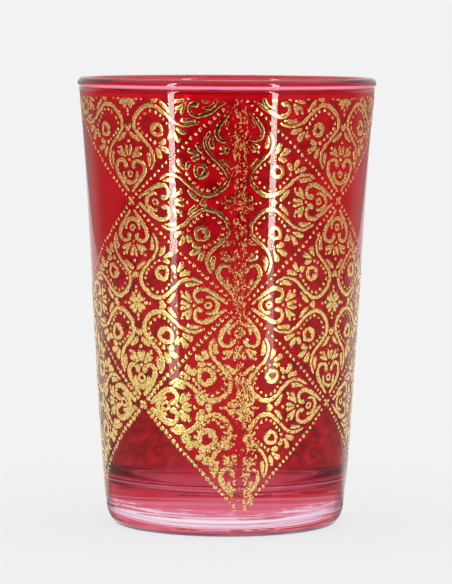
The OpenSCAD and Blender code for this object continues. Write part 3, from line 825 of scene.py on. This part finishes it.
calyx = both([[0.735, 0.118], [0.77, 0.075], [0.79, 0.012]], 1)
print_gold("calyx", leaves(at_edges, calyx, [0.4, 0.95, 1.2, 1.0]), "calyx_leaves")
spray = np.concatenate([both([[0.755, 0.185], [0.83, 0.208], [0.91, 0.248]], 1),
                        both([[0.77, 0.135], [0.85, 0.118], [0.93, 0.088]], 1)])
print_gold("spray", leaves(at_edges, spray, [0.45, 0.85, 1.15, 1.22, 1.0]), "spray_leaves")

# %% [markdown]
# ## Ornament in the corners of a mesh
# A heart of two volutes stands on each corner, with a cup and a bud in it and a fan of petals over it.
# Comma-shaped leaves lie beside the heart, twin leaves over its fan, and a little heart comes last.

# %% Hearts, cups and buds
volute = smooth_line([[0.022, 0.09, 0.6], [0.073, 0.155, 0.75], [0.125, 0.225, 0.92], [0.158, 0.285, 1.0],
                      [0.164, 0.335, 0.95], [0.145, 0.378, 0.82], [0.105, 0.394, 0.75], [0.06, 0.384, 0.8],
                      [0.042, 0.348, 1.1], [0.064, 0.322, 1.4]], 56)
pair = [strokes(at_corners(line), volute[:, 2]) for line in both(volute[:, :2], 0)]
print_gold("volutes", pair, "heart_volutes")
cup = smooth_line([[-0.078, 0.285, 0.6], [-0.08, 0.238, 0.7], [-0.05, 0.192, 0.78], [0, 0.174, 0.84],
                   [0.05, 0.192, 0.78], [0.08, 0.238, 0.7], [0.078, 0.285, 0.6]], 28)
print_gold("cups", [strokes(at_corners(cup[:, :2]), cup[:, 2])], "heart_cups")
bud_places = at_corners([0.0, 0.262])
a = np.linspace(0, 2 * np.pi, 22, endpoint=False)
buds = rings(bud_places, 0 * bud_places[:, 0], 0.78 + 0 * a, 0.3 + 0.05 * np.cos(2 * a))
print_gold("heart_bud_rings", [buds], "heart_buds")

# %% Fans of petals, dots, commas, twin leaves and small hearts
lobes = [[[0.03, 0.426], [0.085, 0.446], [0.145, 0.472]], [[0.04, 0.436], [0.08, 0.478], [0.1, 0.525]],
         [[0.008, 0.436], [0.02, 0.48], [0.03, 0.54]]]
fan = np.concatenate([both(lobe, 0) for lobe in lobes])
print_gold("fans", leaves(at_corners, fan, [0.4, 0.66, 0.84, 0.74]), "palmettes")
fan_dots = at_corners([[0, 0.398], [-0.13, 0.517], [0, 0.575], [0.13, 0.517]]).reshape(-1, 2)
print_gold("fan_dots", [dots(fan_dots, 0.78)], "palmette_dots")
for name, line, widths, replaced in (
        ("commas", [[0.208, 0.345], [0.214, 0.42], [0.2, 0.48]], [0.35, 0.8, 1.0, 0.95], "comma_leaves"),
        ("twins", [[0.127, 0.576], [0.07, 0.618], [0.02, 0.668]], [0.35, 0.85, 1.0, 0.7], "twin_leaves"),
        ("little_hearts", [[0.0, 0.682], [0.012, 0.708], [0.028, 0.75]], [0.45, 0.9, 1.12], "small_hearts")):
    print_gold(name, leaves(at_corners, both(line, 0), widths), replaced)

# %% Stars in the middle of each mesh
long_petals = petals(meshes, [28, 62, 118, 152, 208, 242, 298, 332], 0.1, 2.3, [0.5, 0.75, 1.0, 0.85], 13)
short_petals = petals(meshes, [0, 90, 180, 270], 1.8, 2.75, [0.4, 0.7, 0.5])
print_gold("stars", [long_petals, short_petals], "centre_stars")
print_gold("star_tips", [dots(at_corners([[0, 0.846]]).reshape(-1, 2), 0.7)], "star_dots")

# %% [markdown]
# ## The studio
# The photograph has a pale seamless floor and soft light from all round. The gold tells the rest: it
# mirrors a dark room behind the camera in its upper middle, two tall soft boxes beside that, and the
# white table lower down. So mirror rays see a room of their own. Those off the sharp outside of the
# glass see only a third of it, or it would wash out the ruby, and more of it at a glancing angle.

# %% What mirror rays see
SOFTBOX_WAYS, VEIL = (-43.0, 36.5), 0.35


def bearing(tree, x, y):
    """Angle round the axis in radians: 0 towards the camera, and growing towards +X."""
    return math_node(tree, "ARCTAN2", x, math_node(tree, "MULTIPLY", y, -1.0))


def mirror_rays(tree, aside, most):
    """The light path, a mask of mirror rays, which are glossy rays that went through nothing, and the
    veil: VEIL for those off sharp glass, and most where they go back past the glass, else 1."""
    path = node(tree, "ShaderNodeLightPath").outputs
    mirrored = math_node(tree, "SUBTRACT", path["Is Glossy Ray"], path["Is Transmission Ray"], clamp=True)
    sharp = math_node(tree, "MULTIPLY", path["Is Singular Ray"], mirrored)
    kept = rise(tree, aside, math.radians(118), math.radians(138), VEIL, most)
    return path, mirrored, between(tree, sharp, 1.0, kept)


# %% Floor
paper, tree, shader, place = new_material("pale_paper")
fibres = speckles(tree, place, 900.0, 1.0, 4.0, 0.2, 0.8)
pale = blend_colours(tree, fibres, (0.157, 0.157, 0.158, 1), (0.163, 0.163, 0.163, 1))
x, y, z = split(tree, place)
way = bearing(tree, x, y)
path, mirrored, veil = mirror_rays(tree, math_node(tree, "ABSOLUTE", way), 1.0)
# Painted light and shade for mirror rays: the floor fades to dark towards its front edge, and two painted
# strips of light run out towards the soft boxes.
glow = rise(tree, y, -0.42, -0.2)
for box_way in SOFTBOX_WAYS:
    glow = math_node(tree, "ADD", glow, bell(tree, way, math.radians(box_way), math.radians(6), 0.5))
dimmed = blend_colours(tree, mirrored, (1, 1, 1, 1), math_node(tree, "MULTIPLY", glow, veil))
seen = node(tree, "ShaderNodeMix", {6: pale, 7: dimmed, 0: 1.0}, data_type="RGBA", blend_type="MULTIPLY")
bump = node(tree, "ShaderNodeBump", {"Strength": 0.05, "Distance": 0.0001, "Height": fibres})
fill(tree, shader, {"Base Color": seen.outputs[2], "Emission Color": seen.outputs[2],
                    "Emission Strength": 4.45, "Normal": bump.outputs[0], "Roughness": 0.9,
                    "Specular IOR Level": 0.0})

SIDE, FRONT, FAR = 0.35, -0.42, 6.0
grounds = {"floor": (-SIDE, SIDE, FRONT, FAR), "floor_front": (-FAR, FAR, -FAR, FRONT),
           "floor_left": (-FAR, -SIDE, FRONT, FAR), "floor_right": (SIDE, FAR, FRONT, FAR)}
for name, (left, right, front, back) in grounds.items():
    corner_points = [[left, front, 0], [right, front, 0], [right, back, 0], [left, back, 0]]
    ground = add_object(name, corner_points, [[0, 1, 2, 3]])
    ground.data.materials.append(paper)
    ground.visible_glossy = name == "floor"

# %% [markdown]
# ### The room
# Mirror rays find the room dark within 35 degrees of the camera and half bright at the sides, with more
# light behind the glass and overhead. Rays that come out of the glass see it brighter in front. All
# other rays see an even white. Each soft box is three lamps: the box, its image on the table, and a
# weaker one that stands for the light it throws on the table near the glass.

# %% World
world = bpy.data.worlds.new("studio")
bpy.context.scene.world = world
world.use_nodes = True
tree = world.node_tree
tree.nodes.clear()
x, y, z = split(tree, node(tree, "ShaderNodeTexCoord").outputs["Generated"])
aside = math_node(tree, "ABSOLUTE", math_node(tree, "ADD", bearing(tree, x, y), math.radians(3.5)))
path, mirrored, veil = mirror_rays(tree, aside, 0.85)
through = path["Is Transmission Ray"]
front = math_node(tree, "MULTIPLY", through, 0.15)
room = math_node(tree, "MAXIMUM", rise(tree, aside, math.radians(34), math.radians(37), 0.02, 0.55), front)
room = math_node(tree, "MULTIPLY", room, veil)
lit = math_node(tree, "MAXIMUM", through, rise(tree, z, 0.0, 0.06))
behind = rise(tree, aside, math.radians(109), math.radians(127), 0.0, 0.44)
room = math_node(tree, "ADD", room, math_node(tree, "MULTIPLY", behind, lit))
room = math_node(tree, "ADD", room, rise(tree, z, 0.5, 0.7, 0.0, 0.6))
open_air = between(tree, path["Is Diffuse Ray"], 0.888, 1.12)
strength = node(tree, "ShaderNodeMix", {0: path["Is Glossy Ray"], 2: open_air, 3: room})
warmth = blend_colours(tree, mirrored, (1, 1, 1, 1), (1, 0.81, 0.79, 1))
background = node(tree, "ShaderNodeBackground", {"Color": warmth, "Strength": strength.outputs[0]})
node(tree, "ShaderNodeOutputWorld", {0: background.outputs[0]})


# %% Soft boxes
def soft_light(name, width, height, place, turn, radiance=12.0):
    """A rectangular lamp that only mirror rays see. Its power is its radiance times pi times its area."""
    lamp = bpy.data.lights.new(name, "AREA")
    lamp.shape, lamp.size, lamp.size_y = "RECTANGLE", width, height
    lamp.energy = radiance * math.pi * width * height
    light = bpy.data.objects.new(name, lamp)
    bpy.context.scene.collection.objects.link(light)
    light.location, light.rotation_euler = place, turn
    light.visible_camera = light.visible_diffuse = light.visible_transmission = False
    print(name, "at", [round(c, 3) for c in place])


for side, way, width in (("left", SOFTBOX_WAYS[0], 0.055), ("right", SOFTBOX_WAYS[1], 0.05)):
    a = math.radians(way)
    out, up = Vector((math.sin(a), -math.cos(a), 0)), Vector((0, 0, 1))
    soft_light("softbox_" + side, width, 0.53, out * 0.6 + up * 0.235, (math.pi / 2, 0, a))
    soft_light("softbox_foot_" + side, width * 0.72, 0.16, out * 0.41 + up * 0.002, (math.pi, 0, a))
    soft_light("softbox_glow_" + side, width * 0.5, 0.17, out * 0.245 + up * 0.002, (math.pi, 0, a), 3.2)

# %% [markdown]
# ## The camera
# Its place was found by fitting the outline, the ellipses of rim and foot, and the crossings of the
# trellis. The photograph leans by a quarter of a degree, so the camera is rolled by as much.

# %% Camera
camera = bpy.data.objects.new("camera", bpy.data.cameras.new("camera"))
bpy.context.scene.collection.objects.link(camera)
camera.data.lens, camera.data.sensor_width = 214.1, 36.0
tilt = Matrix.Rotation(math.radians(90 - 4.571), 3, "X") @ Matrix.Rotation(math.radians(0.273), 3, "Z")
camera.location = (0, -0.7, 0.10263)
camera.rotation_euler = tilt.to_euler()
bpy.context.scene.camera = camera
bpy.context.scene.view_settings.view_transform = "Standard"
